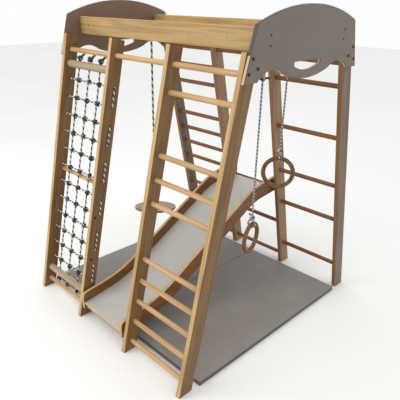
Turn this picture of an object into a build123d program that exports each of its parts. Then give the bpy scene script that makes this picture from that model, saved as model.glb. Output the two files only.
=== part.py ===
"""Indoor climbing frame with slide, rope net, ladders, disc swing and gymnastic rings.

Millimetres, +Z up. The origin is on the floor at the middle of the frame. X runs along the two
top beams, the slide comes down towards -Y, and the frame is the same on both sides of Y = 0.
"""
import os
from math import acos, atan2, cos, radians, sin, sqrt, tan

from build123d import *

os.makedirs("parts", exist_ok=True)

# ---------------------------------------------------------------- driving dimensions
bay_pitch = 370.5           # between the middles of neighbouring posts
post_thick = 22.0
post_wide = 70.0
post_lean = 12.75           # degrees from upright
foot_half_depth = 636.0     # from Y = 0 to the outer corner of a foot
post_top_height = 1310.0    # outer top corner of a post
post_edge_round = 2.5

beam_thick = 22.0
beam_tall = 78.0
beam_bottom = 1302.0
beam_set_back = 25.3        # from a post's inner top corner to the outer face of a beam

panel_thick = 15.0
panel_leg_height = 1211.0   # lower ends of the panel's legs
panel_shoulder = 1392.0     # where the straight side meets the arch
panel_shoulder_in = 13.0    # how far the shoulder stands inside the line of the posts
panel_crown = 1452.0        # top of the arch
panel_leg_wide = 70.0
panel_arc_height = 1246.0   # top of the two hollows in the lower edge
panel_cusp_y = 147.0
panel_cusp_height = 1225.0
panel_belly_height = 1199.0
grip_half = 85.0            # hand hole: half its length
grip_top = 1262.0
grip_side = 1247.0
grip_bottom = 1229.0

rung_d = 22.0
rung_seat = 10.0            # depth of a rung's blind hole in a post
beam_seat = 12.0            # depth of an overhead rung's blind hole in a beam
glue_gap = 0.1              # radial gap round a glued rung
end_gap = 0.3               # between a rung's end and the bottom of its hole
overhead_count = 11
overhead_margin = 72.75     # from the end of a beam to the first rung

ladder_heights = [50, 148, 247, 345, 445, 690, 790, 890, 1134, 1236]
wall_count = 13             # rear left wall bars, from the lowest to the highest
wall_low = 50.0
wall_high = 1222.0
right_heights = [140, 428, 626, 880, 1122, 1222]
back_heights = [50, 281, 1222]
front_top_rung = 1236.0
net_top_rung = 1236.0
net_low_rung = 47.0
net_back_rung = 655.0
net_back_inset = 19.0       # rung behind the net, from the middle of the post inwards

holder_d = 36.0             # thick round bars that hold the net
holder_heights = [111.0, 1172.0]
net_rows = 12
net_low_row = 180.0
net_row_pitch = 84.0
net_rope_d = 8.0
net_hole_play = 4.0         # how much wider a rope's hole is than the rope
rope_ease = 1.0             # eased edges of the rope holes
net_knot_d = 22.0
net_columns = 3
net_shift = 2.0             # rope holes, from the middle of the post inwards

slide_side_gap = 9.05       # between a side rail and the post beside it
rail_thick = 16.0
rail_nose_back = 16.0       # from the outer corners of the feet to the rails' lower end
rail_past_hook = 23.15      # from the rung that carries the slide to the rails' upper end
chute_thick = 6.0
chute_groove = 5.0
groove_gap = 0.1
chute_nose_back = 4.0       # from the rails' lower end to the chute's
chute_before_hook = 15.85
# a slide line is three straight runs joined by arcs: its heights at the nose, at Y = 0 and at the tail
chute_line = (90.0, 332.0, 512.0)
rail_above = (52.0, 61.0, 66.0)
rail_below = (31.0, 24.0, 18.0)
run_slopes = (0.15, 0.565, 0.12)
front_bend = 550.0          # radii of the chute's two bends
rear_bend = 400.0
rail_nose_round = 26.0      # upper corner of the lower end
rail_sole_round = 16.0      # lower corner of the lower end
rail_tail_round = 18.0
hook_gap = 0.3              # between the slide and the rungs that carry it
hook_rung_height = 505.0

mat_foot_gap = 39.23        # from a mat's end to the feet
mat_wide = 574.0
mat_thick = 25.0
mat_gap = 2.0               # between the two mats

swing_rung = -3             # overhead rung that carries the disc, counted from the middle
swing_y = -22.0
swing_rope_d = 10.0
swing_knot_height = 1309.0
disc_d = 232.0
disc_thick = 12.0
disc_height = 388.0
disc_tilt = 9.0             # degrees
disc_tilt_turn = 46.0       # direction of the tilt's axis, from X
disc_hole_d = 14.5

ring_rung = 4
ring_y = {"low": -20.0, "high": 148.0}
ring_height = {"low": 457.0, "high": 738.0}
ring_turn = {"low": 103.6, "high": 34.6}    # direction of each ring's plane, from X
ring_d = 156.0
ring_section = 20.0
ring_rope_d = 8.0
ring_knot_height = 1178.0   # knot that closes the long loop over the rung
ring_loop_bend = 18.0       # middle radius of the small loop through a ring
hang_knot_d = 24.0
hang_gap = 0.3              # between a rope and the wood that it goes round
knot_rise = 0.5             # how far the disc's knot sits in the mouth of its hole
socket_gap = 0.6            # round the rope's end in the knot that it swings from

bolt_d = 6.0
bolt_head_d = 12.0
bolt_head_tall = 3.0
bolt_short = 7.0            # how far a bolt ends before the inner face of its post
nut_flange_d = 15.0
nut_flange_tall = 1.5
nut_barrel_d = 8.0
nut_barrel_long = 9.0
screw_d = 4.0
screw_head_d = 9.0
screw_head_tall = 3.0
side_screw_long = 18.0
screw_gap = 0.1

# ---------------------------------------------------------------- derived places
lean_slope = tan(radians(post_lean))
post_flat = post_wide / cos(radians(post_lean))     # a post's width measured level
post_x = [bay_pitch * (i - 1.5) for i in range(4)]
frame_half = post_x[3] + post_thick / 2             # to the inner face of an end panel
beam_middle = beam_bottom + beam_tall / 2
beam_screw_half = 17.0      # half the spacing of the two screws at a beam's end
rung_r = rung_d / 2
overhead_pitch = (2 * frame_half - 2 * overhead_margin) / (overhead_count - 1)
bolt_long = panel_thick + post_thick - bolt_short
net_hole_d = net_rope_d + net_hole_play
mat_long = 2 * (foot_half_depth - post_flat - mat_foot_gap)
post_names = ["left", "inner_left", "inner_right", "right"]


def outer_y(z):
    """Distance from Y = 0 to the outer edge of the posts at height z."""
    return foot_half_depth - z * lean_slope


def middle_y(z):
    """Distance from Y = 0 to the middle line of the posts at height z."""
    return outer_y(z) - post_flat / 2


beam_outer = outer_y(post_top_height) - post_wide * cos(radians(post_lean)) - beam_set_back
beam_half_gap = beam_outer - beam_thick             # from Y = 0 to the inner face of a beam
slide_half_wide = bay_pitch / 2 - post_thick / 2 - slide_side_gap
hook_y = middle_y(hook_rung_height)
rail_nose_y = rail_nose_back - foot_half_depth
rail_tail_y = hook_y + rail_past_hook
chute_nose_y = rail_nose_y + chute_nose_back
chute_tail_y = hook_y - chute_before_hook


def rung_x(index):
    """Place of an overhead rung counted from the middle one."""
    return index * overhead_pitch


def save(part, name):
    """Label a finished piece, or a group of like pieces, and write it."""
    part.label = name
    export_step(part, f"parts/{name}.step")
    print(f"{name}: {len(part.solids())} solids")


def wall_heights():
    """Even spacing of the rear left wall bars."""
    step = (wall_high - wall_low) / (wall_count - 1)
    return [wall_low + i * step for i in range(wall_count)]


def offset_line(steps, sign):
    """The chute's line moved up or down."""
    return [height + sign * step for height, step in zip(chute_line, steps)]


def low_slide_rung():
    """Height of the front rung on which the slide's rails lie."""
    slope = run_slopes[0]
    reach = (hook_gap + rung_r) * sqrt(1 + slope ** 2)
    level = middle_y(0) + rail_nose_y
    height = offset_line(rail_below, -1)[0] - slope * level - reach
    return height / (1 - slope * lean_slope)


net_row_heights = [net_low_row + i * net_row_pitch for i in range(net_rows)]
net_plane_y = -1            # the net hangs between the front posts
slide_low_rung = low_slide_rung()

# each bay: side (-1 front, +1 rear), number of the post on its left, rung heights
bays = {
    "ladder_rungs": (-1, 2, ladder_heights),
    "net_rungs": (-1, 0, [net_low_rung, net_top_rung]),
    "front_middle_rungs": (-1, 1, [slide_low_rung, front_top_rung]),
    "wall_bars": (1, 0, wall_heights()),
    "rear_middle_rungs": (1, 1, back_heights + [hook_rung_height]),
    "rear_right_rungs": (1, 2, right_heights),
}


def bore(x0, x1, y, z, diameter):
    """A round cutter or rod along X."""
    with Locations(Plane(origin=(x0, y, z), z_dir=(1, 0, 0))):
        Cylinder(diameter / 2, x1 - x0, align=(Align.CENTER, Align.CENTER, Align.MIN))


# ---------------------------------------------------------------- posts
# number of the post, height, place from its middle line, diameter of the head
side_screw_places = [
    (1, 513.0, -13.5, 14.5),
    (1, 298.0, -7.5, 14.5),
    (2, 515.0, -15.5, 7.0),
    (2, 480.0, -14.5, 7.0),
]
bolt_places = [(1290.0, 22.0), (1256.0, post_flat - 14.0), (1242.0, 15.0)]   # height, from the outer edge


def make_post(side, number):
    """One leaning post with the blind holes and bores of what it carries."""
    x = post_x[number]
    inner_foot = foot_half_depth - post_flat
    top_y = outer_y(post_top_height)
    cut_y = top_y - post_wide * cos(radians(post_lean))
    cut_z = post_top_height - post_wide * sin(radians(post_lean))
    with BuildPart() as post:
        with BuildSketch(Plane.YZ.offset(x - post_thick / 2)):
            with BuildLine():
                Polyline(
                    (side * foot_half_depth, 0),
                    (side * inner_foot, 0),
                    (side * cut_y, cut_z),
                    (side * top_y, post_top_height),
                    close=True,
                )
            make_face()
        extrude(amount=post_thick)
        long_edges = post.edges().filter_by(lambda e: e.length > post_top_height * 0.9)
        fillet(long_edges, post_edge_round)
        with BuildPart(mode=Mode.SUBTRACT):
            for bay_side, left, heights in bays.values():
                if bay_side != side or number not in (left, left + 1):
                    continue
                for z in heights:
                    face = x + post_thick / 2 if number == left else x - post_thick / 2
                    depth = -rung_seat if number == left else rung_seat
                    low, high = sorted((face, face + depth))
                    bore(low, high, side * middle_y(z), z, rung_d + 2 * glue_gap)
            if side < 0 and number < 2:
                low = x + post_thick / 2 - rung_seat if number == 0 else x - post_thick / 2
                for z in holder_heights:
                    bore(low, low + rung_seat, -middle_y(z), z, holder_d + 2 * glue_gap)
                bore(low, low + rung_seat, net_back_inset - middle_y(net_back_rung), net_back_rung,
                     rung_d + 2 * glue_gap)
                outward = -1 if number == 0 else 1
                for z in net_row_heights:
                    y = net_shift - middle_y(z) + net_rope_d / 2 * cos(radians(post_lean))
                    z = z - net_rope_d / 2 * sin(radians(post_lean))
                    bore(x - post_thick, x + post_thick, y, z, net_hole_d)
                    with Locations(Plane(origin=(x + outward * post_thick / 2, y, z), z_dir=(-outward, 0, 0))):
                        Cone(net_hole_d / 2 + rope_ease, net_hole_d / 2, rope_ease,
                             align=(Align.CENTER, Align.CENTER, Align.MIN))
            if number in (0, 3):
                for z, inset in bolt_places:
                    bore(x - post_thick, x + post_thick, side * (outer_y(z) - inset), z,
                         nut_barrel_d + 2 * screw_gap)
            if side < 0:
                for screw_post, z, inset, head_d in side_screw_places:
                    if screw_post == number:
                        screw_cutter(x + post_thick / 2, inset - middle_y(z), z, head_d)
    return post


def screw_cutter(face, y, z, head_d):
    """Countersunk seat and pilot for a wood screw that enters a face at +X."""
    with Locations(Plane(origin=(face, y, z), z_dir=(-1, 0, 0))):
        Cylinder(screw_d / 2 + screw_gap, side_screw_long, align=(Align.CENTER, Align.CENTER, Align.MIN))
        Cone(head_d / 2 + screw_gap, screw_d / 2 + screw_gap, screw_head_tall,
             align=(Align.CENTER, Align.CENTER, Align.MIN))


def make_screw(origin, direction, length, head_d):
    """A countersunk screw with a cross recess, its head's top face at origin."""
    place = Plane(origin=origin, z_dir=direction)
    with BuildPart(place) as screw:
        Cone(head_d / 2, screw_d / 2, screw_head_tall, align=(Align.CENTER, Align.CENTER, Align.MIN))
        Cylinder(screw_d / 2, length, align=(Align.CENTER, Align.CENTER, Align.MIN))
        for size in ((4.4, 0.9, 2.4), (0.9, 4.4, 2.4)):
            Box(*size, align=(Align.CENTER, Align.CENTER, Align.CENTER), mode=Mode.SUBTRACT)
    return screw.part


for side, row in ((-1, "front"), (1, "rear")):
    for number, place in enumerate(post_names):
        save(make_post(side, number).part, f"{row}_post_{place}")

side_screws = []
for number, z, inset, head_d in side_screw_places:
    start = (post_x[number] + post_thick / 2, inset - middle_y(z), z)
    side_screws.append(make_screw(start, (-1, 0, 0), side_screw_long - end_gap, head_d))
save(Compound(children=side_screws), "side_screws")

# ---------------------------------------------------------------- rungs between the posts
for name, (side, left, heights) in bays.items():
    with BuildPart() as rungs:
        for z in heights:
            start = post_x[left] + post_thick / 2 - rung_seat + end_gap
            end = post_x[left + 1] - post_thick / 2 + rung_seat - end_gap
            bore(start, end, side * middle_y(z), z, rung_d)
    save(rungs.part, name)

# ---------------------------------------------------------------- beams and overhead rungs
beam_screw_long = 55.0
rung_screw_long = 38.0
beam_screw_heights = [beam_middle - beam_screw_half, beam_middle + beam_screw_half]

for side, row in ((-1, "front"), (1, "rear")):
    with BuildPart() as beam:
        with Locations((0, side * (beam_half_gap + beam_thick / 2), beam_middle)):
            Box(2 * frame_half, beam_thick, beam_tall)
        fillet(beam.edges().filter_by(Axis.X), post_edge_round)
        for i in range(overhead_count):
            x = rung_x(i - overhead_count // 2)
            outward = (0, side, 0)
            with Locations(Plane(origin=(x, side * beam_half_gap, beam_middle), z_dir=outward)):
                Cylinder(rung_r + glue_gap, beam_seat, mode=Mode.SUBTRACT,
                         align=(Align.CENTER, Align.CENTER, Align.MIN))
                Cylinder(screw_d / 2 + screw_gap, beam_thick, mode=Mode.SUBTRACT,
                         align=(Align.CENTER, Align.CENTER, Align.MIN))
            inward = (0, -side, 0)
            with Locations(Plane(origin=(x, side * beam_outer, beam_middle), z_dir=inward)):
                Cone(screw_head_d / 2 + screw_gap, screw_d / 2 + screw_gap, screw_head_tall,
                     mode=Mode.SUBTRACT, align=(Align.CENTER, Align.CENTER, Align.MIN))
        for end in (-1, 1):
            for z in beam_screw_heights:
                start = (end * frame_half, side * (beam_half_gap + beam_thick / 2), z)
                with Locations(Plane(origin=start, z_dir=(-end, 0, 0))):
                    Cylinder(screw_d / 2 + screw_gap, beam_screw_long - panel_thick, mode=Mode.SUBTRACT,
                             align=(Align.CENTER, Align.CENTER, Align.MIN))
    save(beam.part, f"{row}_beam")

with BuildPart() as overhead_rungs:
    reach = beam_half_gap + beam_seat - end_gap
    for i in range(overhead_count):
        x = rung_x(i - overhead_count // 2)
        with Locations(Plane(origin=(x, -reach, beam_middle), z_dir=(0, 1, 0))):
            Cylinder(rung_r, 2 * reach, align=(Align.CENTER, Align.CENTER, Align.MIN))
        for side in (-1, 1):
            pilot = rung_screw_long - (beam_thick - beam_seat)
            with Locations(Plane(origin=(x, side * reach, beam_middle), z_dir=(0, -side, 0))):
                Cylinder(screw_d / 2 + screw_gap, pilot, mode=Mode.SUBTRACT,
                         align=(Align.CENTER, Align.CENTER, Align.MIN))
save(overhead_rungs.part, "overhead_rungs")

rung_screws = []
for side in (-1, 1):
    for i in range(overhead_count):
        start = (rung_x(i - overhead_count // 2), side * beam_outer, beam_middle)
        rung_screws.append(make_screw(start, (0, -side, 0), rung_screw_long - end_gap, screw_head_d))
save(Compound(children=rung_screws), "rung_screws")


# ---------------------------------------------------------------- end panels
def panel_outline():
    """The arched end panel, drawn on the YZ plane: arch, straight sides, legs and wavy lower edge."""
    leg_y = outer_y(panel_leg_height)
    shoulder_y = outer_y(panel_shoulder) - panel_shoulder_in
    leg_inner = leg_y - panel_leg_wide
    hollow_y = (leg_inner + panel_cusp_y) / 2
    with BuildLine() as outline:
        ThreePointArc((-shoulder_y, panel_shoulder), (0, panel_crown), (shoulder_y, panel_shoulder))
        Line((shoulder_y, panel_shoulder), (leg_y, panel_leg_height))
        Line((leg_y, panel_leg_height), (leg_inner, panel_leg_height))
        ThreePointArc((leg_inner, panel_leg_height), (hollow_y, panel_arc_height),
                      (panel_cusp_y, panel_cusp_height))
        ThreePointArc((panel_cusp_y, panel_cusp_height), (0, panel_belly_height),
                      (-panel_cusp_y, panel_cusp_height))
        ThreePointArc((-panel_cusp_y, panel_cusp_height), (-hollow_y, panel_arc_height),
                      (-leg_inner, panel_leg_height))
        Line((-leg_inner, panel_leg_height), (-leg_y, panel_leg_height))
        Line((-leg_y, panel_leg_height), (-shoulder_y, panel_shoulder))
    return outline


def grip_outline():
    """The hand hole: straight along the top, bowed along the bottom."""
    with BuildLine() as outline:
        Polyline((-grip_half, grip_side), (-grip_half, grip_top), (grip_half, grip_top), (grip_half, grip_side))
        ThreePointArc((grip_half, grip_side), (0, grip_bottom), (-grip_half, grip_side))
    return outline


for end, name in ((-1, "left_end_panel"), (1, "right_end_panel")):
    inner = end * frame_half
    low_x = min(inner, inner + end * panel_thick)
    with BuildPart() as panel:
        with BuildSketch(Plane.YZ.offset(low_x)) as face:
            add(panel_outline().line)
            make_face()
            fillet(face.vertices().group_by(Axis.Y)[-1], 6)
            with BuildSketch(mode=Mode.SUBTRACT) as grip:
                add(grip_outline().line)
                make_face()
                fillet(grip.vertices(), 7)
        extrude(amount=panel_thick)
        rims = panel.faces().filter_by(Axis.X)
        fillet(rims.edges(), 1.5)
        for side in (-1, 1):
            for z, inset in bolt_places:
                with Locations(Plane(origin=(low_x, side * (outer_y(z) - inset), z), z_dir=(1, 0, 0))):
                    Cylinder(bolt_d / 2 + screw_gap, panel_thick, mode=Mode.SUBTRACT,
                             align=(Align.CENTER, Align.CENTER, Align.MIN))
            for z in beam_screw_heights:
                start = (inner + end * panel_thick, side * (beam_half_gap + beam_thick / 2), z)
                with Locations(Plane(origin=start, z_dir=(-end, 0, 0))):
                    Cylinder(screw_d / 2 + screw_gap, panel_thick, mode=Mode.SUBTRACT,
                             align=(Align.CENTER, Align.CENTER, Align.MIN))
                    Cone(screw_head_d / 2 + screw_gap, screw_d / 2 + screw_gap, screw_head_tall,
                         mode=Mode.SUBTRACT, align=(Align.CENTER, Align.CENTER, Align.MIN))
    save(panel.part, name)

beam_screws = []
panel_bolts = []
panel_nuts = []
for end in (-1, 1):
    for side in (-1, 1):
        for z in beam_screw_heights:
            start = (end * (frame_half + panel_thick), side * (beam_half_gap + beam_thick / 2), z)
            beam_screws.append(make_screw(start, (-end, 0, 0), beam_screw_long - end_gap, screw_head_d))
        for z, inset in bolt_places:
            y = side * (outer_y(z) - inset)
            head = Plane(origin=(end * (frame_half + panel_thick), y, z), z_dir=(end, 0, 0))
            with BuildPart(head) as bolt:
                Cylinder(bolt_head_d / 2, bolt_head_tall, align=(Align.CENTER, Align.CENTER, Align.MIN))
                fillet(bolt.edges().sort_by(Axis(head.origin, head.z_dir))[-1], 1.2)
                Cylinder(bolt_d / 2, bolt_long, align=(Align.CENTER, Align.CENTER, Align.MAX))
                with Locations((0, 0, bolt_head_tall)):
                    with BuildSketch():
                        RegularPolygon(2.4, 6)
                extrude(amount=-1.8, mode=Mode.SUBTRACT)
            panel_bolts.append(bolt.part)
            seat = Plane(origin=(end * (frame_half - post_thick), y, z), z_dir=(-end, 0, 0))
            with BuildPart(seat) as nut:
                Cylinder(nut_flange_d / 2, nut_flange_tall, align=(Align.CENTER, Align.CENTER, Align.MIN))
                Cylinder(nut_barrel_d / 2, nut_barrel_long, align=(Align.CENTER, Align.CENTER, Align.MAX))
                with Locations((0, 0, -nut_barrel_long)):
                    Cylinder(bolt_d / 2 + screw_gap, nut_barrel_long + nut_flange_tall, mode=Mode.SUBTRACT,
                             align=(Align.CENTER, Align.CENTER, Align.MIN))
            panel_nuts.append(nut.part)
save(Compound(children=beam_screws), "beam_screws")
save(Compound(children=panel_bolts), "panel_bolts")
save(Compound(children=panel_nuts), "panel_nuts")

# ---------------------------------------------------------------- climbing net
net_left = post_x[0] + post_thick / 2
net_right = post_x[1] - post_thick / 2
column_pitch = (net_right - net_left) / (net_columns + 1)
column_x = [net_left + (i + 1) * column_pitch for i in range(net_columns)]
rope_r = net_rope_d / 2
cross_gap = 0.1             # between the two ropes of a crossing
along = Vector(0, sin(radians(post_lean)), cos(radians(post_lean)))     # up the front posts
across = Vector(0, -cos(radians(post_lean)), sin(radians(post_lean)))   # out of the net, forwards


def on_net(x, z, forward=0.0):
    """A point of the net's plane at place x and height z, moved forwards out of it."""
    return Vector(x, net_shift - middle_y(z), z) + across * forward


row_forward = -(rope_r + cross_gap / 2)
column_forward = rope_r + cross_gap / 2

with BuildPart() as net_holders:
    for z in holder_heights:
        bore(net_left - rung_seat + end_gap, net_right + rung_seat - end_gap, -middle_y(z), z, holder_d)
    for x in column_x:
        for z in holder_heights:
            with Locations(Plane(origin=on_net(x, z, column_forward), z_dir=along)):
                Cylinder(net_hole_d / 2, 2 * holder_d, mode=Mode.SUBTRACT)
save(net_holders.part, "net_holders")

with BuildPart() as net_back:
    bore(net_left - rung_seat + end_gap, net_right + rung_seat - end_gap,
         net_back_inset - middle_y(net_back_rung), net_back_rung, rung_d)
save(net_back.part, "net_back_rung")

stop_knot_d = 24.0
stop_reach = holder_d / 2 + stop_knot_d / 2 + 1.0
low_stop = holder_heights[0] - stop_reach * cos(radians(post_lean))
high_stop = holder_heights[1] + stop_reach * cos(radians(post_lean))

with BuildPart() as net_uprights:
    for x in column_x:
        start = on_net(x, low_stop, column_forward)
        end = on_net(x, high_stop, column_forward)
        with Locations(Plane(origin=start, z_dir=along)):
            Cylinder(rope_r, (end - start).length, align=(Align.CENTER, Align.CENTER, Align.MIN))
save(net_uprights.part, "net_uprights")

# the lacing rope goes to and fro through the posts and is stitched up their outer faces
stitch_out = rope_r + 0.7
end_knot_d = 17.0
end_knot_x = post_x[0] - post_thick / 2 - end_knot_d / 2 - 0.75
row_end_left = post_x[0] - post_thick / 2 - stitch_out
row_end_right = post_x[1] + post_thick / 2 + stitch_out
lacing_points = []
for i, z in enumerate(reversed(net_row_heights)):
    ends = [row_end_left, row_end_right] if i % 2 == 0 else [row_end_right, row_end_left]
    lacing_points += [on_net(x, z, row_forward) for x in ends]
lacing_points[0] = on_net(end_knot_x - end_knot_d / 2, net_row_heights[-1], row_forward)
lacing_points[-1] = on_net(end_knot_x - end_knot_d / 2, net_row_heights[0], row_forward)
with BuildPart() as net_lacing:
    with BuildLine() as lacing_line:
        FilletPolyline(*lacing_points, radius=net_rope_d)
    with BuildSketch(Plane(origin=lacing_line.line @ 0, z_dir=lacing_line.line % 0)):
        Circle(rope_r)
    sweep()
save(net_lacing.part, "net_lacing")
lacing_long = sum(edge.length for edge in lacing_line.edges())
print(f"net lacing: rope {lacing_long:.0f} mm long, bends of radius {net_rope_d}")

knots = []
for x in column_x:
    for z in net_row_heights:
        centre = on_net(x, z)
        with BuildPart(Plane(origin=centre, x_dir=(1, 0, 0), z_dir=along)) as knot:
            Sphere(net_knot_d / 2)
            with Locations((0, -column_forward, 0)):
                Cylinder(rope_r + cross_gap, net_knot_d, mode=Mode.SUBTRACT)
            with Locations(Location((0, -row_forward, 0), (0, 90, 0))):
                Cylinder(rope_r + cross_gap, net_knot_d, mode=Mode.SUBTRACT)
        knots.append(knot.part)
save(Compound(children=knots), "net_knots")

stops = []
for x in column_x:
    for z in (low_stop, high_stop):
        with BuildPart(Plane(origin=on_net(x, z, column_forward), x_dir=(1, 0, 0), z_dir=along)) as stop:
            Sphere(stop_knot_d / 2)
            Cylinder(rope_r + cross_gap, stop_knot_d, mode=Mode.SUBTRACT)
        stops.append(stop.part)
for z in (net_row_heights[0], net_row_heights[-1]):
    centre = on_net(end_knot_x, z, row_forward)
    with BuildPart(Plane(origin=centre, z_dir=(1, 0, 0))) as stop:
        Sphere(end_knot_d / 2)
        Cylinder(rope_r + cross_gap, end_knot_d, mode=Mode.SUBTRACT)
    stops.append(stop.part)
save(Compound(children=stops), "net_stop_knots")

# ---------------------------------------------------------------- slide
def run_points(heights, start, end):
    """Corner points of a slide line between two places along Y."""
    front, main, rear = run_slopes
    nose, level, tail = heights
    first = (level - nose + front * rail_nose_y) / (front - main)
    second = (tail - rear * chute_tail_y - level) / (main - rear)
    return [
        (start, nose + front * (start - rail_nose_y)),
        (first, level + main * first),
        (second, level + main * second),
        (end, tail + rear * (end - chute_tail_y)),
    ]


def band(upper, lower, start, end, spread):
    """The outline between two slide lines; spread widens the lower line's first bend."""
    with BuildLine() as outline:
        low = FilletPolyline(*run_points(lower, start, end), radius=(front_bend + spread, rear_bend - spread))
        high = FilletPolyline(*run_points(upper, start, end), radius=(front_bend, rear_bend))
        Line(low @ 0, high @ 0)
        Line(low @ 1, high @ 1)
    return outline


def chute_band(gap, start, end):
    """The chute's section, or its groove when there is a gap."""
    up = [height + gap * sqrt(1 + slope ** 2) for height, slope in zip(chute_line, run_slopes)]
    down = [height - (chute_thick + gap) * sqrt(1 + slope ** 2) for height, slope in zip(chute_line, run_slopes)]
    return band(up, down, start, end, chute_thick)


hook_r = rung_r + hook_gap
for end, name in ((-1, "left"), (1, "right")):
    outer = end * slide_half_wide
    inner = end * (slide_half_wide - rail_thick)
    with BuildPart() as rail:
        with BuildSketch(Plane.YZ.offset(min(outer, inner))) as face:
            with BuildLine():
                top_heights = offset_line(rail_above, 1)
                low_heights = offset_line(rail_below, -1)
                add(band(top_heights, low_heights, rail_nose_y, rail_tail_y, rail_above[0] + rail_below[0]).line)
            make_face()
            corners = face.vertices().sort_by(Axis.X)
            nose_high, nose_low = corners[:2].sort_by(Axis.Y)[-1], corners[:2].sort_by(Axis.Y)[0]
            fillet(nose_high, rail_nose_round)
            fillet(nose_low, rail_sole_round)
            corners = face.vertices().sort_by(Axis.X)
            fillet(corners[-2:].sort_by(Axis.Y)[-1], rail_tail_round)
            with Locations((hook_y, hook_rung_height)):
                Circle(hook_r, mode=Mode.SUBTRACT)
                Rectangle(2 * hook_r, 60, align=(Align.CENTER, Align.MAX), mode=Mode.SUBTRACT)
        extrude(amount=rail_thick)
        rims = rail.faces().filter_by(Axis.X).edges()
        fillet([edge for edge in rims if edge.center().Z > chute_line[0] and edge.length > 100], 2.0)
        groove_start = min(inner, inner + end * chute_groove)
        with BuildSketch(Plane.YZ.offset(groove_start)):
            with BuildLine():
                add(chute_band(groove_gap, rail_nose_y - 1, chute_tail_y + groove_gap).line)
            make_face()
        extrude(amount=chute_groove, mode=Mode.SUBTRACT)
    save(rail.part, f"slide_rail_{name}")

with BuildPart() as chute:
    reach = slide_half_wide - rail_thick + chute_groove - groove_gap
    with BuildSketch(Plane.YZ.offset(-reach)):
        with BuildLine():
            add(chute_band(0, chute_nose_y, chute_tail_y).line)
        make_face()
    extrude(amount=2 * reach)
save(chute.part, "slide_chute")


# ---------------------------------------------------------------- ropes that swing
def loop_over_rung(x, y, height, strand_foot, radius, bend):
    """A rope laid over an overhead rung, its two ends brought together in a knot below."""
    strand_x = radius + 0.3
    reach = sqrt(strand_x ** 2 + (height - strand_foot) ** 2)
    start = atan2(strand_foot - height, strand_x) + acos(bend / reach)
    touch_x = bend * cos(start)
    touch_z = height + bend * sin(start)
    with BuildPart() as loop:
        with BuildLine() as line:
            Line((x - strand_x, y, strand_foot), (x - touch_x, y, touch_z))
            ThreePointArc((x - touch_x, y, touch_z), (x, y, height + bend), (x + touch_x, y, touch_z))
            Line((x + touch_x, y, touch_z), (x + strand_x, y, strand_foot))
        with BuildSketch(Plane(origin=line.line @ 0, z_dir=line.line % 0)):
            Circle(radius)
        sweep()
    long = sum(edge.length for edge in line.edges())
    print(f"loop over the rung at X {x:.1f}, Y {y}: rope {long:.0f} mm long, bend of radius {bend}")
    return loop.part


def hang_knot(x, y, z, loop, radius):
    """The knot that closes a loop, with a round socket below in which the rope's end can turn."""
    with BuildPart() as knot:
        with Locations((x, y, z)):
            Sphere(hang_knot_d / 2)
        with Locations((x, y, socket_z(z))):
            Box(hang_knot_d, hang_knot_d, hang_knot_d, align=(Align.CENTER, Align.CENTER, Align.MAX),
                mode=Mode.SUBTRACT)
            Sphere(radius + socket_gap, mode=Mode.SUBTRACT)
        add(loop, mode=Mode.SUBTRACT)
    return knot.part


def socket_z(knot_z):
    """Height of the socket's centre: the flat under the knot."""
    return knot_z - hang_knot_d / 2 + 2.5


def hanging_rope(x, y, top, bottom, radius):
    """A straight rope that carries a weight, with a rounded end in its socket."""
    with BuildPart() as rope:
        with Locations((x, y, bottom)):
            Cylinder(radius, top - bottom, align=(Align.CENTER, Align.CENTER, Align.MIN))
        with Locations((x, y, top)):
            Sphere(radius)
    print(f"rope at X {x:.1f}, Y {y}: {top - bottom:.0f} mm long, straight")
    return rope.part


def through_knot(x, y, z, radius):
    """A knot at a rope's lower end, bored for the rope from above."""
    with BuildPart() as knot:
        with Locations((x, y, z)):
            Sphere(hang_knot_d / 2)
            Cylinder(radius + cross_gap, hang_knot_d, align=(Align.CENTER, Align.CENTER, Align.MIN),
                     mode=Mode.SUBTRACT)
    return knot.part


# disc swing: a short loop over its rung, one straight rope, the disc and the knot under it
swing_x = rung_x(swing_rung)
swing_r = swing_rope_d / 2
swing_bend = rung_r + hang_gap + swing_r
swing_foot = swing_knot_height - hang_knot_d / 2 + 8
swing_loop = loop_over_rung(swing_x, swing_y, beam_middle, swing_foot, swing_r, swing_bend)
save(swing_loop, "swing_loop")
save(hang_knot(swing_x, swing_y, swing_knot_height, swing_loop, swing_r), "swing_top_knot")

under_disc = hang_knot_d / 2 + disc_thick / 2 / cos(radians(disc_tilt)) + hang_gap - knot_rise
under_disc += hang_knot_d / 2 * (1 / cos(radians(disc_tilt)) - 1)
swing_low_knot_z = disc_height - under_disc
save(hanging_rope(swing_x, swing_y, socket_z(swing_knot_height), swing_low_knot_z, swing_r), "swing_rope")
save(through_knot(swing_x, swing_y, swing_low_knot_z, swing_r), "swing_low_knot")

with BuildPart() as disc:
    Cylinder(disc_d / 2, disc_thick)
    fillet(disc.edges().filter_by(GeomType.CIRCLE), 4.0)
    Cylinder(disc_hole_d / 2, disc_thick, mode=Mode.SUBTRACT)
tilt_axis = Axis((0, 0, 0), (cos(radians(disc_tilt_turn)), sin(radians(disc_tilt_turn)), 0))
tilted = disc.part.rotate(tilt_axis, -disc_tilt)
save(Pos(swing_x, swing_y, disc_height) * tilted, "swing_disc")

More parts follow.
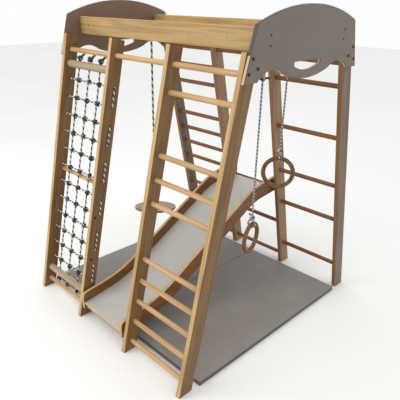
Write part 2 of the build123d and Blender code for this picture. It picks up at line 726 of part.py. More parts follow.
# gymnastic rings: a long loop, a straight rope, a knot, a small loop through the ring, the ring
ring_x = rung_x(ring_rung)
ring_r = ring_rope_d / 2
ring_bend = rung_r + hang_gap + ring_r
ring_foot = ring_knot_height - hang_knot_d / 2 + 7
for name in ("low", "high"):
    y = ring_y[name]
    grip = ring_height[name] + ring_d / 2 - ring_section / 2       # middle of the ring's section at the top
    small_z = grip + ring_loop_bend - ring_section / 2 - hang_gap - ring_r
    low_knot_z = small_z + ring_loop_bend + hang_knot_d / 2
    loop = loop_over_rung(ring_x, y, beam_middle, ring_foot, ring_r, ring_bend)
    save(loop, f"{name}_ring_long_loop")
    save(hang_knot(ring_x, y, ring_knot_height, loop, ring_r), f"{name}_ring_top_knot")
    rope_foot = low_knot_z + 2
    save(hanging_rope(ring_x, y, socket_z(ring_knot_height), rope_foot, ring_r), f"{name}_ring_rope")
    turn = ring_turn[name]
    with BuildPart() as small_loop:
        with Locations(Location((ring_x, y, small_z), (0, 0, turn)) * Location((0, 0, 0), (0, 90, 0))):
            Torus(ring_loop_bend, ring_r)
    save(small_loop.part, f"{name}_ring_small_loop")
    with BuildPart() as knot:
        with Locations((ring_x, y, low_knot_z)):
            Sphere(hang_knot_d / 2)
        with Locations((ring_x, y, rope_foot - hang_gap)):
            Cylinder(ring_r + cross_gap + hang_gap, hang_knot_d, align=(Align.CENTER, Align.CENTER, Align.MIN),
                     mode=Mode.SUBTRACT)
        with Locations(Location((ring_x, y, small_z), (0, 0, turn)) * Location((0, 0, 0), (0, 90, 0))):
            Torus(ring_loop_bend, ring_r + cross_gap, mode=Mode.SUBTRACT)
    save(knot.part, f"{name}_ring_low_knot")
    with BuildPart() as ring:
        with Locations(Location((ring_x, y, ring_height[name]), (0, 0, turn)) * Location((0, 0, 0), (90, 0, 0))):
            Torus(ring_d / 2 - ring_section / 2, ring_section / 2)
    save(ring.part, f"{name}_ring")

# ---------------------------------------------------------------- mats
for end, name in ((-1, "left"), (1, "right")):
    with BuildPart() as mat:
        with Locations((end * (mat_gap + mat_wide) / 2, 0, 0)):
            Box(mat_wide, mat_long, mat_thick, align=(Align.CENTER, Align.CENTER, Align.MIN))
        fillet(mat.edges().filter_by(Axis.Z), 6.0)
        fillet(mat.faces().filter_by(Axis.Z).edges(), 5.0)
    save(mat.part, f"mat_{name}")
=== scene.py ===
# %% [markdown]
# # An indoor climbing frame, dressed for its picture
#
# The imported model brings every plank, rung, screw and joint at its true size. This lesson
# gives them timber, paint and laminate, and makes the soft things new: the ropes and their
# knots, and the two floor mats.

# %% Load the frame
import math

import bmesh
import bpy
from mathutils import Matrix, Vector


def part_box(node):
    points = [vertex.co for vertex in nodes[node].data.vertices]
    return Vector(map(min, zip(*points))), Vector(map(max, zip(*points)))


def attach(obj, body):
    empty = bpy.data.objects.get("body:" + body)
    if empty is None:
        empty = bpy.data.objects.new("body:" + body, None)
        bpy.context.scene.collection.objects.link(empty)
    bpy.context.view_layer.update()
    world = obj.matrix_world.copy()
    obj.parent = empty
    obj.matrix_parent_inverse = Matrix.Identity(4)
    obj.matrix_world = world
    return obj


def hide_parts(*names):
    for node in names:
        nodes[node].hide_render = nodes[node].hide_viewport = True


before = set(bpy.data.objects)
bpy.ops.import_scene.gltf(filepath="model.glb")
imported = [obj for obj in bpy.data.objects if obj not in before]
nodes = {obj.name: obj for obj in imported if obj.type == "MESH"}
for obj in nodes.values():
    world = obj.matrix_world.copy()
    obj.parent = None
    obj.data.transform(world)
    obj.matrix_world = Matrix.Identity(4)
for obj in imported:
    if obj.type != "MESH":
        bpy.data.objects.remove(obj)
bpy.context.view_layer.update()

# %% [markdown]
# ## The camera
#
# Someone stands in front of the right-hand corner, a little above the frame, and looks down
# over the top beams. The numbers are a real place and a real lens, so straight timbers
# converge the way they would for that person.

# %% Camera
camera_data = bpy.data.cameras.new("standing_viewer")
camera = bpy.data.objects.new("standing_viewer", camera_data)
bpy.context.collection.objects.link(camera)
bpy.context.scene.camera = camera
camera.location = (1.5845, -1.5767, 1.4727)
heading, tilt, roll = math.radians(46.338), math.radians(90 - 26.128), math.radians(0.417)
camera.rotation_mode = "XYZ"
turned = Matrix.Rotation(heading, 4, "Z") @ Matrix.Rotation(tilt, 4, "X") @ Matrix.Rotation(roll, 4, "Z")
camera.rotation_euler = turned.to_euler("XYZ")
camera_data.sensor_width = 36.0
camera_data.lens = 465.64 * 36.0 / 400.0
camera_data.shift_x = (200.0 - 185.7) / 400.0
camera_data.shift_y = (224.15 - 200.0) / 400.0
camera_data.clip_start = 0.05
print("lens", round(camera_data.lens, 1), "mm")

# %% [markdown]
# ## Light and floor
#
# A plain pale room: one broad window-like light at the front left, a weaker one at the right
# so that the shaded faces of the posts keep their colour, and a pale floor.

# %% Light
def soft_light(name, place, aim, size, power, colour):
    """A square area light that faces a point."""
    data = bpy.data.lights.new(name, "AREA")
    data.size = size
    data.energy = power
    data.color = colour
    lamp = bpy.data.objects.new(name, data)
    bpy.context.collection.objects.link(lamp)
    lamp.location = place
    lamp.rotation_euler = (Vector(aim) - Vector(place)).to_track_quat("-Z", "Y").to_euler()
    return lamp


soft_light("window", (-1.6, -3.2, 3.2), (0, 0, 0.6), 2.2, 62, (1.0, 0.98, 0.95))
soft_light("room", (3.4, -0.8, 1.6), (0, 0, 0.6), 2.4, 3, (1.0, 0.95, 0.88))
soft_light("ceiling", (0.2, 0.6, 3.6), (0, 0, 0.4), 3.0, 16, (1.0, 0.99, 0.97))
world = bpy.data.worlds.new("pale_room")
bpy.context.scene.world = world
world.use_nodes = True
world.node_tree.nodes["Background"].inputs["Color"].default_value = (1.0, 1.0, 1.0, 1)
world.node_tree.nodes["Background"].inputs["Strength"].default_value = 1.0
bpy.context.scene.view_settings.view_transform = "Standard"
print("three lights and a pale room")

# %% [markdown]
# ## Writing materials as sums
#
# A material is arithmetic on positions. The small class below lets that arithmetic be
# written as plain Python: adding two values adds a Math node.

# %% The wrapper for shader maths
class Value:
    """A node's output socket that can be added, multiplied and compared."""

    def __init__(self, tree, socket):
        self.tree = tree
        self.socket = socket

    def maths(self, operation, other=None, swap=False):
        node = self.tree.nodes.new("ShaderNodeMath")
        node.operation = operation
        pair = [self] if other is None else ([other, self] if swap else [self, other])
        for slot, item in zip(node.inputs, pair):
            if isinstance(item, Value):
                self.tree.links.new(item.socket, slot)
            else:
                slot.default_value = item
        return Value(self.tree, node.outputs[0])

    def __add__(self, other):
        return self.maths("ADD", other)

    __radd__ = __add__

    def __mul__(self, other):
        return self.maths("MULTIPLY", other)

    __rmul__ = __mul__

    def __sub__(self, other):
        return self.maths("SUBTRACT", other)

    def __rsub__(self, other):
        return self.maths("SUBTRACT", other, swap=True)

    def __gt__(self, other):
        return self.maths("GREATER_THAN", other)

    def absolute(self):
        return self.maths("ABSOLUTE")

    def sine(self):
        return self.maths("SINE")

    def clamp(self):
        node = self.tree.nodes.new("ShaderNodeClamp")
        self.tree.links.new(self.socket, node.inputs["Value"])
        return Value(self.tree, node.outputs[0])


class Finish:
    """A new material: its node tree, its main shader and one way to add any node."""

    def __init__(self, name, roughness=0.5, **constants):
        self.material = bpy.data.materials.new(name)
        self.material.use_nodes = True
        self.tree = self.material.node_tree
        self.shader = self.tree.nodes["Principled BSDF"]
        self.shader.inputs["Roughness"].default_value = roughness
        for key, value in constants.items():
            self.shader.inputs[key.replace("_", " ")].default_value = value

    def node(self, kind, settings=None, output=0, **inputs):
        made = self.tree.nodes.new(kind)
        for key, value in (settings or {}).items():
            if key == "stops":
                ramp = made.color_ramp
                while len(ramp.elements) < len(value):
                    ramp.elements.new(0.5)
                for element, (place, colour) in zip(ramp.elements, value):
                    element.position = place
                    element.color = (*colour, 1)
            else:
                setattr(made, key, value)
        for key, value in inputs.items():
            slot = made.inputs[int(key[1:])] if key[0] == "i" and key[1:].isdigit() else made.inputs[key]
            if isinstance(value, Value):
                self.tree.links.new(value.socket, slot)
            else:
                slot.default_value = value
        return Value(self.tree, made.outputs[output])

    def place(self, turn=(0, 0, 0), scale=(1, 1, 1), shift=(0, 0, 0)):
        """Object coordinates, turned and scaled."""
        coords = self.node("ShaderNodeTexCoord", output="Object")
        return self.node("ShaderNodeMapping", i0=coords, i1=shift, i2=turn, i3=scale)

    def noise(self, coords, scale, detail=3.0, rough=0.5):
        return self.node("ShaderNodeTexNoise", Vector=coords, Scale=scale, Detail=detail, Roughness=rough)

    def parts(self, coords):
        made = self.tree.nodes.new("ShaderNodeSeparateXYZ")
        self.tree.links.new(coords.socket, made.inputs[0])
        return [Value(self.tree, out) for out in made.outputs]

    def ramp(self, factor, *stops):
        return self.node("ShaderNodeValToRGB", {"stops": stops}, Fac=factor)

    def mix(self, factor, one, two):
        made = self.tree.nodes.new("ShaderNodeMix")
        made.data_type = "RGBA"
        for slot, item in ((made.inputs[0], factor), (made.inputs[6], one), (made.inputs[7], two)):
            if isinstance(item, Value):
                self.tree.links.new(item.socket, slot)
            else:
                slot.default_value = item if isinstance(item, float) else (*item, 1)
        return Value(self.tree, made.outputs[2])

    def colour(self, value):
        self.tree.links.new(value.socket, self.shader.inputs["Base Color"])

    def roughness(self, value):
        self.tree.links.new(value.socket, self.shader.inputs["Roughness"])

    def bump(self, height, strength, distance):
        made = self.node("ShaderNodeBump", Height=height, Strength=strength, Distance=distance)
        self.tree.links.new(made.socket, self.shader.inputs["Normal"])


def wear(node, finish):
    """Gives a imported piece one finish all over."""
    mesh = nodes[node].data
    mesh.materials.clear()
    mesh.materials.append(finish.material)


print("shader helpers ready")

# %% [markdown]
# ## Timber
#
# The posts, rungs and beams are clear-varnished pine. Its grain is long light and dark
# streaks, the yearly rings cut lengthwise, with finer fibres between them, and here and there
# a knot. Streaks are noise that is stretched along the plank: the same noise squeezed across
# it. The broad side faces are coloured browner and darker than the planed edges: painted
# shade. The rear frame gets darker, warmer copies of the pine: painted shade at the back.

# %% Pine
LEAN = math.radians(12.75)


def scaled(colour, factor):
    """A colour made lighter or darker."""
    return tuple(channel * factor for channel in colour)


def timber(name, along, turn=0.0, light=(0.60, 0.41, 0.185), dark=(0.33, 0.19, 0.072), face=None, knots=True):
    """Varnished wood with its grain along X, Y or Z, turned about X."""
    made = Finish(name, roughness=0.42, Coat_Weight=0.06, Coat_Roughness=0.25, Specular_IOR_Level=0.3)
    coords = made.place(turn=(turn, 0, 0))
    slow, fast = 1.6, 34.0
    scale = tuple(slow if axis == along else fast for axis in "XYZ")
    long_coords = made.node("ShaderNodeVectorMath", {"operation": "MULTIPLY"}, i0=coords, i1=scale)
    rings = made.noise(long_coords, 1.0, 2.0, 0.45)
    streak = ((rings * 26.0).sine() * 0.5 + 0.5)
    fine_scale = tuple(9.0 if axis == along else 520.0 for axis in "XYZ")
    fine_coords = made.node("ShaderNodeVectorMath", {"operation": "MULTIPLY"}, i0=coords, i1=fine_scale)
    fibres = made.noise(fine_coords, 1.0, 3.0, 0.6)
    patch = made.noise(coords, 3.2, 2.0, 0.5)
    grain = (streak * 0.42 + fibres * 0.38 + patch * 0.45 - 0.12).clamp()
    between = tuple((a + b) * 0.5 for a, b in zip(light, dark))
    wood = made.ramp(grain, (0.08, light), (0.5, between), (0.95, dark))
    if knots:
        knot_scale = tuple(3.1 if axis == along else 9.0 for axis in "XYZ")
        knot_coords = made.node("ShaderNodeVectorMath", {"operation": "MULTIPLY"}, i0=coords, i1=knot_scale)
        cells = made.node("ShaderNodeTexVoronoi", Vector=knot_coords, Scale=1.0, Randomness=1.0)
        knot = (1.0 - cells * 9.0).clamp()
        wood = made.mix(knot * 0.8, wood, scaled(dark, 0.42))
    # face, when given, is the colour of the broad side faces, darker and browner than the edges: painted
    # shade.
    if face is not None:
        normal = made.node("ShaderNodeTexCoord", output="Normal")
        shaded_side = (made.parts(normal)[0].absolute() > 0.85)
        shaded_face_colour = made.ramp(grain, (0.05, scaled(face, 1.25)), (0.95, scaled(face, 0.62)))
        wood = made.mix(shaded_side, wood, shaded_face_colour)
    made.colour(wood)
    made.roughness(0.36 + fibres * 0.18)
    made.bump(fibres * 0.6 + streak * 0.4, 0.16, 0.0006)
    return made


front_timber = timber("pine_front_posts", "Z", LEAN, face=(0.190, 0.100, 0.035))
# The rear posts and rungs are darker copies of the pine: painted shade at the back of the frame. The inner
# rear posts' broad faces are lighter than the outer ones': painted light.
rear_shaded_timber = timber("pine_rear_posts_shaded", "Z", -LEAN, light=(0.30, 0.155, 0.068), dark=(0.155, 0.072, 0.028),
                     face=(0.160, 0.112, 0.072))
rear_inner_shaded_timber = timber("pine_rear_inner_posts_shaded", "Z", -LEAN, light=(0.34, 0.175, 0.075),
                           dark=(0.17, 0.08, 0.03), face=(0.275, 0.170, 0.090))
rung_timber = timber("pine_front_rungs", "X", light=(0.60, 0.40, 0.20),
                     dark=(0.38, 0.215, 0.088), knots=False)
# Rear rungs: a darker copy of the rung pine, painted shade.
rear_shaded_rung_timber = timber("pine_rear_rungs_shaded", "X", light=(0.26, 0.115, 0.042),
                          dark=(0.125, 0.048, 0.016), knots=False)
beam_timber = timber("pine_beams", "X", light=(0.53, 0.355, 0.155), dark=(0.31, 0.185, 0.068))
overhead_timber = timber("pine_overhead_rungs", "Y", light=(0.62, 0.42, 0.22),
                         dark=(0.42, 0.25, 0.11), knots=False)
for place in ("left", "inner_left", "inner_right", "right"):
    wear(f"front_post_{place}", front_timber)
    wear(f"rear_post_{place}", rear_inner_shaded_timber if "inner" in place else rear_shaded_timber)
for node in ("ladder_rungs", "net_rungs", "front_middle_rungs", "net_back_rung"):
    wear(node, rung_timber)
for node in ("wall_bars", "rear_middle_rungs", "rear_right_rungs"):
    wear(node, rear_shaded_rung_timber)
wear("front_beam", beam_timber)
wear("rear_beam", beam_timber)
wear("overhead_rungs", overhead_timber)
holder_timber = timber("oiled_bars", "X", light=(0.47, 0.37, 0.25), dark=(0.30, 0.215, 0.13), knots=False)
wear("net_holders", holder_timber)
ring_timber = timber("turned_rings", "Z", light=(0.21, 0.105, 0.042), dark=(0.085, 0.038, 0.014), knots=False)
wear("low_ring", ring_timber)
wear("high_ring", ring_timber)
print("timber finished")

# %% [markdown]
# ## Painted end panels
#
# The arched panels are plywood under a taupe paint. A roller leaves a faint orange-peel
# texture. The paint ran over the rim of the arch and left it dark. Beside the posts the sawn
# rim stays bare: it shows the plies, with a dark line of paint where it meets each face.

# %% Paint
PANEL_MIDDLE = 0.56675 + 0.0075     # from X = 0 to the middle of a panel's thickness
BARE_HALF = 0.0050                  # half the width of the bare plies
POST_TOP = 1.300


def paint(name, base, rim, speckle=0.06):
    """Rolled paint over plywood whose sawn rim is bare below the tops of the posts."""
    made = Finish(name, roughness=0.46)
    coords = made.place()
    cloud = made.noise(coords, 7.0, 3.0, 0.5)
    peel = made.noise(coords, 420.0, 2.0, 0.5)
    body = made.ramp(cloud, (0.3, scaled(base, 1 - speckle)), (0.7, scaled(base, 1 + speckle)))
    normal = made.node("ShaderNodeTexCoord", output="Normal")
    facing = made.parts(normal)[0].absolute()
    across = (made.parts(coords)[0].absolute() - PANEL_MIDDLE).absolute()
    plies = made.parts(coords)[0] * 2100.0
    layer = plies.sine() * 0.5 + 0.5
    edge = made.mix(layer, rim, scaled(rim, 0.86))
    covered = (across > BARE_HALF) + (made.parts(coords)[2] > POST_TOP)
    edge = made.mix(covered.clamp(), edge, (0.034, 0.025, 0.019))
    made.colour(made.mix(1.0 - (facing > 0.9), body, edge))
    made.roughness(0.4 + cloud * 0.15)
    made.bump(peel, 0.12, 0.0004)
    return made


# The left panel shows its inside face: its paint is a browner, darker copy of the taupe, painted shade.
wear("left_end_panel", paint("taupe_paint_painted_shade", (0.165, 0.098, 0.062), (0.50, 0.40, 0.30)))
wear("right_end_panel", paint("taupe_paint", (0.146, 0.120, 0.098), (0.56, 0.39, 0.22)))
print("paint on the two end panels")

# %% [markdown]
# ## Slide
#
# The two side boards are varnished plywood, cut to the slide's line. Between them lies a thin
# laminate sheet, pale grey and smooth.

# %% Slide finishes
# The boards' broad faces get the darker, browner face colour: painted shade.
side_board = timber("slide_boards", "Y", light=(0.60, 0.41, 0.215), dark=(0.40, 0.24, 0.11),
                    face=(0.185, 0.080, 0.024), knots=False)
wear("slide_rail_left", side_board)
wear("slide_rail_right", side_board)

laminate = Finish("grey_laminate", roughness=0.24, Coat_Weight=0.15, Coat_Roughness=0.12)
coords = laminate.place()
tint = laminate.noise(coords, 4.0, 3.0, 0.5)
rub = laminate.noise(coords, 30.0, 4.0, 0.6)
sheet_colour = laminate.ramp(tint, (0.3, (0.42, 0.405, 0.37)), (0.7, (0.47, 0.455, 0.42)))
normal = laminate.node("ShaderNodeTexCoord", output="Normal")
cut_edge = 1.0 - (laminate.parts(normal)[2].absolute() > 0.55)
laminate.colour(laminate.mix(cut_edge, sheet_colour, (0.62, 0.46, 0.28)))
laminate.roughness(0.30 + rub * 0.10)
laminate.bump(rub, 0.02, 0.0002)
wear("slide_chute", laminate)
print("slide finished")

# %% [markdown]
# ## Metal
#
# The rungs' screws are zinc-plated steel. The screws and bolts of the panels and posts are
# burnished nearly black, and the nuts inside the frame have a bronze tint.

# %% Steel
steel = Finish("zinc_plate", roughness=0.34, Metallic=1.0)
grit = steel.noise(steel.place(), 900.0, 2.0, 0.6)
steel.colour(steel.ramp(grit, (0.3, (0.30, 0.295, 0.29)), (0.7, (0.42, 0.415, 0.40))))
steel.roughness(0.28 + grit * 0.2)
dark_steel = Finish("dark_screw", roughness=0.5, Metallic=0.8)
smudge = dark_steel.noise(dark_steel.place(), 500.0, 2.0, 0.6)
dark_steel.colour(dark_steel.ramp(smudge, (0.3, (0.03, 0.025, 0.022)), (0.7, (0.07, 0.055, 0.045))))
bronze = Finish("bronze_nut", roughness=0.5, Metallic=0.6)
stain = bronze.noise(bronze.place(), 500.0, 2.0, 0.6)
bronze.colour(bronze.ramp(stain, (0.3, (0.17, 0.10, 0.05)), (0.7, (0.26, 0.16, 0.085))))
wear("rung_screws", steel)
wear("panel_nuts", bronze)
for node in ("panel_bolts", "beam_screws", "side_screws"):
    wear(node, dark_steel)
print("metal finished")

# %% [markdown]
# ## Disc
#
# The disc is stained grey-brown plywood with a dark rounded rim.

# %% Disc finish
disc_finish = Finish("stained_disc", roughness=0.5)
stretched = disc_finish.place(scale=(30.0, 3.0, 30.0))
figure = disc_finish.noise(stretched, 2.0, 4.0, 0.6)
top_colour = disc_finish.ramp(figure, (0.3, (0.255, 0.185, 0.125)), (0.7, (0.345, 0.255, 0.175)))
normal = disc_finish.node("ShaderNodeTexCoord", output="Normal")
rim = 1.0 - (disc_finish.parts(normal)[2].absolute() > 0.9)
disc_finish.colour(disc_finish.mix(rim, top_colour, (0.115, 0.078, 0.050)))
disc_finish.roughness(0.42 + figure * 0.15)
disc_finish.bump(figure, 0.1, 0.0004)
wear("swing_disc", disc_finish)
print("disc finished")

# %% [markdown]
# ## Rope
#
# All ropes are the same braid, white with a black strand. The strand runs round the rope
# like the stripe on a barber's pole, so the pattern needs to know how far along and how far
# round a point lies. A tube keeps both in its UV map: here every rope is a tube skinned along
# a smooth line, and its map counts rope widths along and turns round.

# %% Rope finish
def braid(name, low, high, pitch=0.30, light=(0.60, 0.585, 0.54), dark=(0.020, 0.020, 0.024)):
    """Braided rope; low and high set how much of its face the black strand covers."""
    made = Finish(name, roughness=0.88)
    round_it, along_it, _ = made.parts(made.node("ShaderNodeUVMap", {"uv_map": "strands"}))
    strand = ((round_it * (2 * math.pi) + along_it * (2 * math.pi * pitch)).sine() * 0.5 + 0.5)
    yarn = ((round_it * (2 * math.pi * 12) - along_it * (2 * math.pi * 2.4)).sine() * 0.5 + 0.5)
    fuzz = made.noise(made.place(), 1400.0, 2.0, 0.6)
    shade = made.ramp(strand, (low, dark), (high, light))
    made.colour(made.mix(fuzz * 0.25, shade, (0.14, 0.135, 0.125)))
    made.bump(strand * 0.5 + yarn * 0.5 + fuzz * 0.2, 0.5, 0.0008)
    return made


rope_finish = braid("braided_rope", 0.40, 0.54)
knot_finish = braid("braided_rope_drawn_tight", 0.80, 0.97)
ring_rope_finish = braid("fine_braided_rope", 0.35, 0.62, 0.50, (0.48, 0.48, 0.46), (0.055, 0.06, 0.07))
print("rope finish ready")


# %% Ropes as tubes
def spline_points(name, route):
    """The smooth line that a route's points pull on, as points close together."""
    curve = bpy.data.curves.new(name + "_line", "CURVE")
    curve.dimensions = "3D"
    curve.resolution_u = 12
    line = curve.splines.new("NURBS")
    line.points.add(len(route) - 1)
    for point, place in zip(line.points, route):
        point.co = (*place, 1.0)
    line.order_u = 3
    line.use_endpoint_u = True
    holder = bpy.data.objects.new(name + "_line", curve)
    mesh = bpy.data.meshes.new_from_object(holder)
    points = [vertex.co.copy() for vertex in mesh.vertices]
    bpy.data.objects.remove(holder)
    bpy.data.meshes.remove(mesh)
    tidy = [points[0]]
    for point in points[1:]:
        if (point - tidy[-1]).length > 0.0012:
            tidy.append(point)
    return tidy


def tube(bm, points, radius, sides=12):
    """Skins a tube along points and maps rope widths along and turns round."""
    layer = bm.loops.layers.uv.get("strands") or bm.loops.layers.uv.new("strands")
    side_way = (points[1] - points[0]).orthogonal().normalized()
    far = 0.0
    last = None
    for i, point in enumerate(points):
        ahead = (points[min(i + 1, len(points) - 1)] - points[max(i - 1, 0)]).normalized()
        side_way = (side_way - ahead * side_way.dot(ahead)).normalized()
        up_way = ahead.cross(side_way)
        basis = Matrix((side_way, up_way, ahead)).transposed().to_4x4()
        place = Matrix.Translation(point) @ basis
        ring = bmesh.ops.create_circle(bm, segments=sides, radius=radius, matrix=place)["verts"]
        if last is not None:
            step = (point - points[i - 1]).length / (2 * radius)
            for k in range(sides):
                n = (k + 1) % sides
                face = bm.faces.new((last[k], last[n], ring[n], ring[k]))
                face.smooth = True
                places = ((k, far), (k + 1, far), (k + 1, far + step), (k, far + step))
                for loop, (u, v) in zip(face.loops, places):
                    loop[layer].uv = (u / sides, v)
            far += step
        else:
            bm.faces.new(list(reversed(ring)))
        last = ring
    bm.faces.new(last)


def finished(name, bm, finish, body, replaced=()):
    """Turns a bmesh into a piece that rides on a body."""
    bmesh.ops.recalc_face_normals(bm, faces=bm.faces)
    mesh = bpy.data.meshes.new(name)
    bm.to_mesh(mesh)
    bm.free()
    mesh.materials.append(finish.material)
    piece = bpy.data.objects.new(name, mesh)
    bpy.context.collection.objects.link(piece)
    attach(piece, body)
    if replaced:
        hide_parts(*replaced)
    return piece


def rope(name, route, radius, body, replaced=(), finish=rope_finish):
    """One length of rope along a route."""
    points = spline_points(name, route)
    bm = bmesh.new()
    tube(bm, points, radius)
    piece = finished(name, bm, finish, body, replaced)
    length = sum((b - a).length for a, b in zip(points, points[1:]))
    return piece, points, length


# %% [markdown]
# ## Knots
#
# A stopper knot is a few turns of the rope drawn tight over itself. A trefoil line, the
# simplest closed knot there is, gives that look when its tube is nearly as thick as its gaps.
# Drawn tight, the black strand shows more than the white, so knots have their own finish.

# %% Knots
def knot_turns(bm, centre, radius, rope_radius, up=(0, 0, 1), spin=0.0, tail=0.0, tail_way=(1, 0, 1)):
    """A drawn-up knot about centre, with a short end of rope if tail is given."""
    up = Vector(up).normalized()
    turn = up.to_track_quat("Z", "Y").to_matrix() @ Matrix.Rotation(spin, 3, "Z")
    line = []
    size = radius - rope_radius
    for i in range(57):
        t = 2 * math.pi * i / 56
        x = (math.sin(t) + 2 * math.sin(2 * t)) / 3
        y = (math.cos(t) - 2 * math.cos(2 * t)) / 3
        z = -math.sin(3 * t) * 0.75
        line.append(centre + turn @ (Vector((x, y, z)) * size))
    tube(bm, line, rope_radius, 10)
    if tail:
        way = Vector(tail_way).normalized()
        start = centre + way * size * 0.6
        line = [start + way * tail * k / 5 + up * -0.12 * tail * (k / 5) ** 2 for k in range(6)]
        tube(bm, line, rope_radius * 0.92, 10)


# %% [markdown]
# ## Climbing net
#
# One long rope is laced to and fro through holes in the two posts and stitched up their
# outer faces. Three uprights hang between the two thick bars. Every crossing is knotted.

# %% Net measures
SLOPE = math.tan(LEAN)
UP = Vector((0, math.sin(LEAN), math.cos(LEAN)))
OUT = Vector((0, -math.cos(LEAN), math.sin(LEAN)))
POST_FLAT = 0.070 / math.cos(LEAN)
ROPE_R = 0.004
PLY = 0.00405               # rows lie behind the net's plane by this much, uprights before it
rows = [0.180 + 0.084 * i for i in range(12)]
column_pitch = (0.3705 - 0.022) / 4
columns = [-0.54475 + column_pitch * (i + 1) for i in range(3)]


def net_point(x, z, forward=0.0):
    """A point of the leaning net."""
    return Vector((x, 0.002 - (0.636 - z * SLOPE - POST_FLAT / 2), z)) + OUT * forward


print("net rows", len(rows), "columns", [round(x, 3) for x in columns])

# %% Lacing rope
left_face, right_face = -0.56675, -0.17425
reach = 0.0047
route = []
for i, z in enumerate(reversed(rows)):
    ends = [left_face - reach, right_face + reach]
    ways = [1, -1]
    if i % 2:
        ends.reverse()
        ways.reverse()
    row = [net_point(ends[0], z, -PLY), net_point(ends[0] + ways[0] * 0.009, z, -PLY),
           net_point(ends[0] + ways[0] * 0.045, z, -PLY),
           net_point(ends[1] + ways[1] * 0.045, z, -PLY),
           net_point(ends[1] + ways[1] * 0.009, z, -PLY), net_point(ends[1], z, -PLY)]
    if i:
        row.insert(0, row[0] + UP * 0.009)
    if i < len(rows) - 1:
        row.append(row[-1] - UP * 0.009)
    route += row
route[0] = net_point(-0.5845, rows[-1], -PLY)
route[-1] = net_point(-0.5845, rows[0], -PLY)
lacing, lacing_points, lacing_length = rope("net_lacing_rope", route, ROPE_R, "frame", ["net_lacing"])
print("lacing", round(lacing_length, 2), "m,", len(lacing.data.polygons), "faces")

# %% Upright ropes
bottom = 0.111 - 0.031 * math.cos(LEAN)
top = 1.172 + 0.031 * math.cos(LEAN)
for i, x in enumerate(columns):
    low, high = net_point(x, bottom, PLY), net_point(x, top, PLY)
    route = [low, low + UP * 0.05, (low + high) / 2, high - UP * 0.05, high]
    upright, line, length = rope(f"net_upright_rope_{i + 1}", route, ROPE_R, "frame", ["net_uprights"])
print("three uprights of", round(length, 3), "m")

# %% Net knots
bm = bmesh.new()
for c, x in enumerate(columns):
    for r, z in enumerate(rows):
        knot_turns(bm, net_point(x, z), 0.0142, 0.0056, up=OUT, spin=0.7 * (c + 2 * r))
finished("net_crossing_knots", bm, knot_finish, "frame", ["net_knots"])
bm = bmesh.new()
for c, x in enumerate(columns):
    knot_turns(bm, net_point(x, top, PLY), 0.0145, 0.0058, up=OUT, spin=c,
               tail=0.026, tail_way=(0.7, 0.5, 0.75))
    knot_turns(bm, net_point(x, bottom, PLY), 0.0140, 0.0058, up=OUT, spin=c + 1,
               tail=0.012, tail_way=(0.3, 0, -0.8))
for z in (rows[0], rows[-1]):
    knot_turns(bm, net_point(-0.576, z, -PLY), 0.0090, 0.0036, up=(1, 0, 0))
finished("net_end_knots", bm, knot_finish, "frame", ["net_stop_knots"])
print("net knotted")

# %% [markdown]
# ## Ropes of the swing and the rings
#
# Each hangs from a loop over its rung. A loop and its knot turn with the first joint, the
# straight rope with the second, and what hangs below it spins.

# %% Loops over the rungs
BEAM = 1.341                # height of the overhead rungs


def over_rung(name, x, y, foot, radius, bend, body, replaced):
    """The loop over a rung, down to its knot."""
    foot_x = radius + 0.0003
    side = bend + 0.0002
    drop = [(foot_x, foot), (foot_x + (side - foot_x) * 0.35, foot + (BEAM - foot) * 0.35),
            (side, BEAM - 0.012), (side, BEAM + 0.004),
            (side * 0.80, BEAM + side * 0.80), (0.0, BEAM + side * 1.06)]
    half = [Vector((x - dx, y, z)) for dx, z in drop]
    other = [Vector((x + dx, y, z)) for dx, z in reversed(drop[:-1])]
    return rope(name, half + other, radius, body, replaced)


SWING = (-0.2964, -0.022)
loop, line, length = over_rung("swing_loop_rope", *SWING, 1.305, 0.005, 0.0163, "swing_loop", ["swing_loop"])
print("swing loop", round(length, 3), "m")

# %% Swing rope and knots
x, y = SWING
route = [Vector((x, y, z)) for z in (1.3035, 1.25, 0.85, 0.43, 0.366)]
hang, line, length = rope("swing_straight_rope", route, 0.005, "swing_rope", ["swing_rope"])
bm = bmesh.new()
knot_turns(bm, Vector((x, y, 1.309)), 0.0135, 0.0052)
finished("swing_upper_knot", bm, knot_finish, "swing_loop", ["swing_top_knot"])
low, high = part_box("swing_low_knot")
bm = bmesh.new()
knot_turns(bm, Vector((x, y, (low[2] + high[2]) / 2)), 0.0125, 0.0050, tail=0.006, tail_way=(0.2, 0.1, -1))
finished("swing_lower_knot", bm, knot_finish, "swing_rope", ["swing_low_knot"])
print("swing rope", round(length, 3), "m")

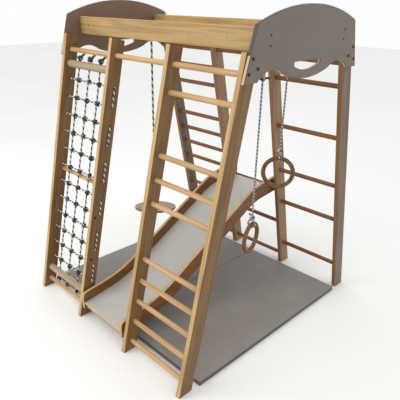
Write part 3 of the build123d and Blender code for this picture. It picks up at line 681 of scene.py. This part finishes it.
# %% Ring ropes
for which, y, height, turn in (("low", -0.020, 0.457, 103.6), ("high", 0.148, 0.738, 34.6)):
    x = 0.3952
    loop, line, length = over_rung(f"{which}_ring_loop_rope", x, y, 1.173, 0.004, 0.0153,
                                   f"{which}_ring_loop", [f"{which}_ring_long_loop"])
    bm = bmesh.new()
    knot_turns(bm, Vector((x, y, 1.178)), 0.0135, 0.0050, tail=0.026, tail_way=(0.9, 0.2, 0.15))
    finished(f"{which}_ring_upper_knot", bm, knot_finish, f"{which}_ring_loop", [f"{which}_ring_top_knot"])
    grip = height + 0.068
    small = grip + 0.018 - 0.010 - 0.0003 - 0.004
    knot_z = small + 0.018 + 0.012
    route = [Vector((x, y, z)) for z in (1.1715, 1.12, (1.17 + knot_z) / 2, knot_z + 0.05, knot_z + 0.002)]
    hang, line, length = rope(f"{which}_ring_straight_rope", route, 0.004, f"{which}_ring_rope",
                              [f"{which}_ring_rope"], ring_rope_finish)
    bm = bmesh.new()
    way = Vector((math.cos(math.radians(turn + 90)), math.sin(math.radians(turn + 90)), 0))
    middle = Vector((x, y, small))
    circle = [middle + way * 0.018 * math.sin(a) + Vector((0, 0, 0.018 * math.cos(a)))
              for a in [2 * math.pi * k / 40 for k in range(41)]]
    tube(bm, circle, 0.004, 12)
    finished(f"{which}_ring_small_loop_rope", bm, ring_rope_finish, f"{which}_ring",
             [f"{which}_ring_small_loop"])
    bm = bmesh.new()
    knot_turns(bm, Vector((x, y, knot_z)), 0.0138, 0.0052, spin=0.6, tail=0.022, tail_way=(-0.8, 0.2, 0.55))
    finished(f"{which}_ring_lower_knot", bm, ring_rope_finish, f"{which}_ring", [f"{which}_ring_low_knot"])
    print(which, "ring rope", round(length, 3), "m")

# %% [markdown]
# ## Mats
#
# Two thin foam mats in grey leatherette lie side by side. The cover is stretched over firm
# foam, so the top is nearly flat and falls off only at the rim. The side strip is painted darker: painted
# shade.

# %% Mat finish
cover = Finish("grey_leatherette", roughness=0.52)
coords = cover.place()
pores = cover.node("ShaderNodeTexVoronoi", {"feature": "DISTANCE_TO_EDGE"}, Vector=coords, Scale=420.0)
cloud = cover.noise(coords, 5.0, 4.0, 0.55)
scuff = cover.noise(coords, 38.0, 4.0, 0.65)
shade = cover.ramp(cloud * 0.6 + scuff * 0.4, (0.3, (0.180, 0.163, 0.150)), (0.7, (0.245, 0.222, 0.205)))
upward = cover.parts(cover.node("ShaderNodeTexCoord", output="Normal"))[2]
# Faces that don't point upward get a darker colour: painted shade on the mats' sides.
cover.colour(cover.mix((upward > 0.6), (0.085, 0.077, 0.071), shade))
cover.roughness(0.46 + scuff * 0.16)
cover.bump(pores * 3.0 + scuff * 0.5, 0.25, 0.0006)
print("mat finish ready")


# %% Mats
def mat(side):
    """One mat: a slab with eased edges and a faintly uneven top."""
    low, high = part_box(f"mat_{side}")
    low, high = Vector(low), Vector(high)
    middle = (low + high) / 2
    half = (high - low) / 2
    bm = bmesh.new()
    block = Matrix.Translation(middle) @ Matrix.Diagonal((*(high - low), 1))
    bmesh.ops.create_cube(bm, size=1.0, matrix=block)
    upright = [e for e in bm.edges if abs(e.verts[0].co.z - e.verts[1].co.z) > 0.01]
    bmesh.ops.bevel(bm, geom=upright, offset=0.004, segments=3, profile=0.5, affect="EDGES", material=-1)
    rims = [e for e in bm.edges if all(abs(abs(v.co.z - middle.z) - half.z) < 1e-5 for v in e.verts)
            and abs(e.verts[0].co.z - e.verts[1].co.z) < 1e-5 and len(e.link_faces) == 2
            and abs(e.link_faces[0].normal.z - e.link_faces[1].normal.z) > 0.5]
    bmesh.ops.bevel(bm, geom=rims, offset=0.0028, segments=3, profile=0.5, affect="EDGES", material=-1)
    for axis, count in ((0, 24), (1, 44)):
        for k in range(1, count):
            cut = low.copy()
            cut[axis] = low[axis] + (high[axis] - low[axis]) * k / count
            normal = Vector((1, 0, 0)) if axis == 0 else Vector((0, 1, 0))
            whole = bm.verts[:] + bm.edges[:] + bm.faces[:]
            bmesh.ops.bisect_plane(bm, geom=whole, plane_co=cut, plane_no=normal)
    for vertex in bm.verts:
        p = vertex.co
        inset = min(half.x - abs(p.x - middle.x), half.y - abs(p.y - middle.y))
        if p.z > middle.z + half.z * 0.6 and inset > 0.0:
            fall = math.exp(-inset / 0.012)
            wave = math.sin(p.x * 31.0 + 1.3 * math.sin(p.y * 9.0)) * math.sin(p.y * 23.0 + p.x * 7.0)
            p.z += -0.0006 * fall + 0.0005 * wave * (1 - fall) - 0.0005
    for face in bm.faces:
        face.smooth = True
    piece = finished(f"floor_mat_{side}", bm, cover, f"mat_{side}", [f"mat_{side}"])
    print(piece.name, len(piece.data.polygons), "faces")
    return piece


mat("left")
mat("right")

# %% [markdown]
# ## Floor
#
# The floor is a large plain sheet. It isn't part of the object.

# %% Floor
bm = bmesh.new()
bmesh.ops.create_grid(bm, x_segments=1, y_segments=1, size=14.0)
bmesh.ops.translate(bm, verts=bm.verts, vec=(0, 0, -0.0006))
floor_mesh = bpy.data.meshes.new("pale_floor")
bm.to_mesh(floor_mesh)
bm.free()
floor_finish = Finish("pale_floor", roughness=0.7)
haze = floor_finish.noise(floor_finish.place(), 0.8, 2.0, 0.5)
floor_finish.colour(floor_finish.ramp(haze, (0.3, (0.84, 0.84, 0.83)), (0.7, (0.87, 0.87, 0.86))))
floor_mesh.materials.append(floor_finish.material)
floor = bpy.data.objects.new("pale_floor", floor_mesh)
bpy.context.collection.objects.link(floor)
print("floor laid")
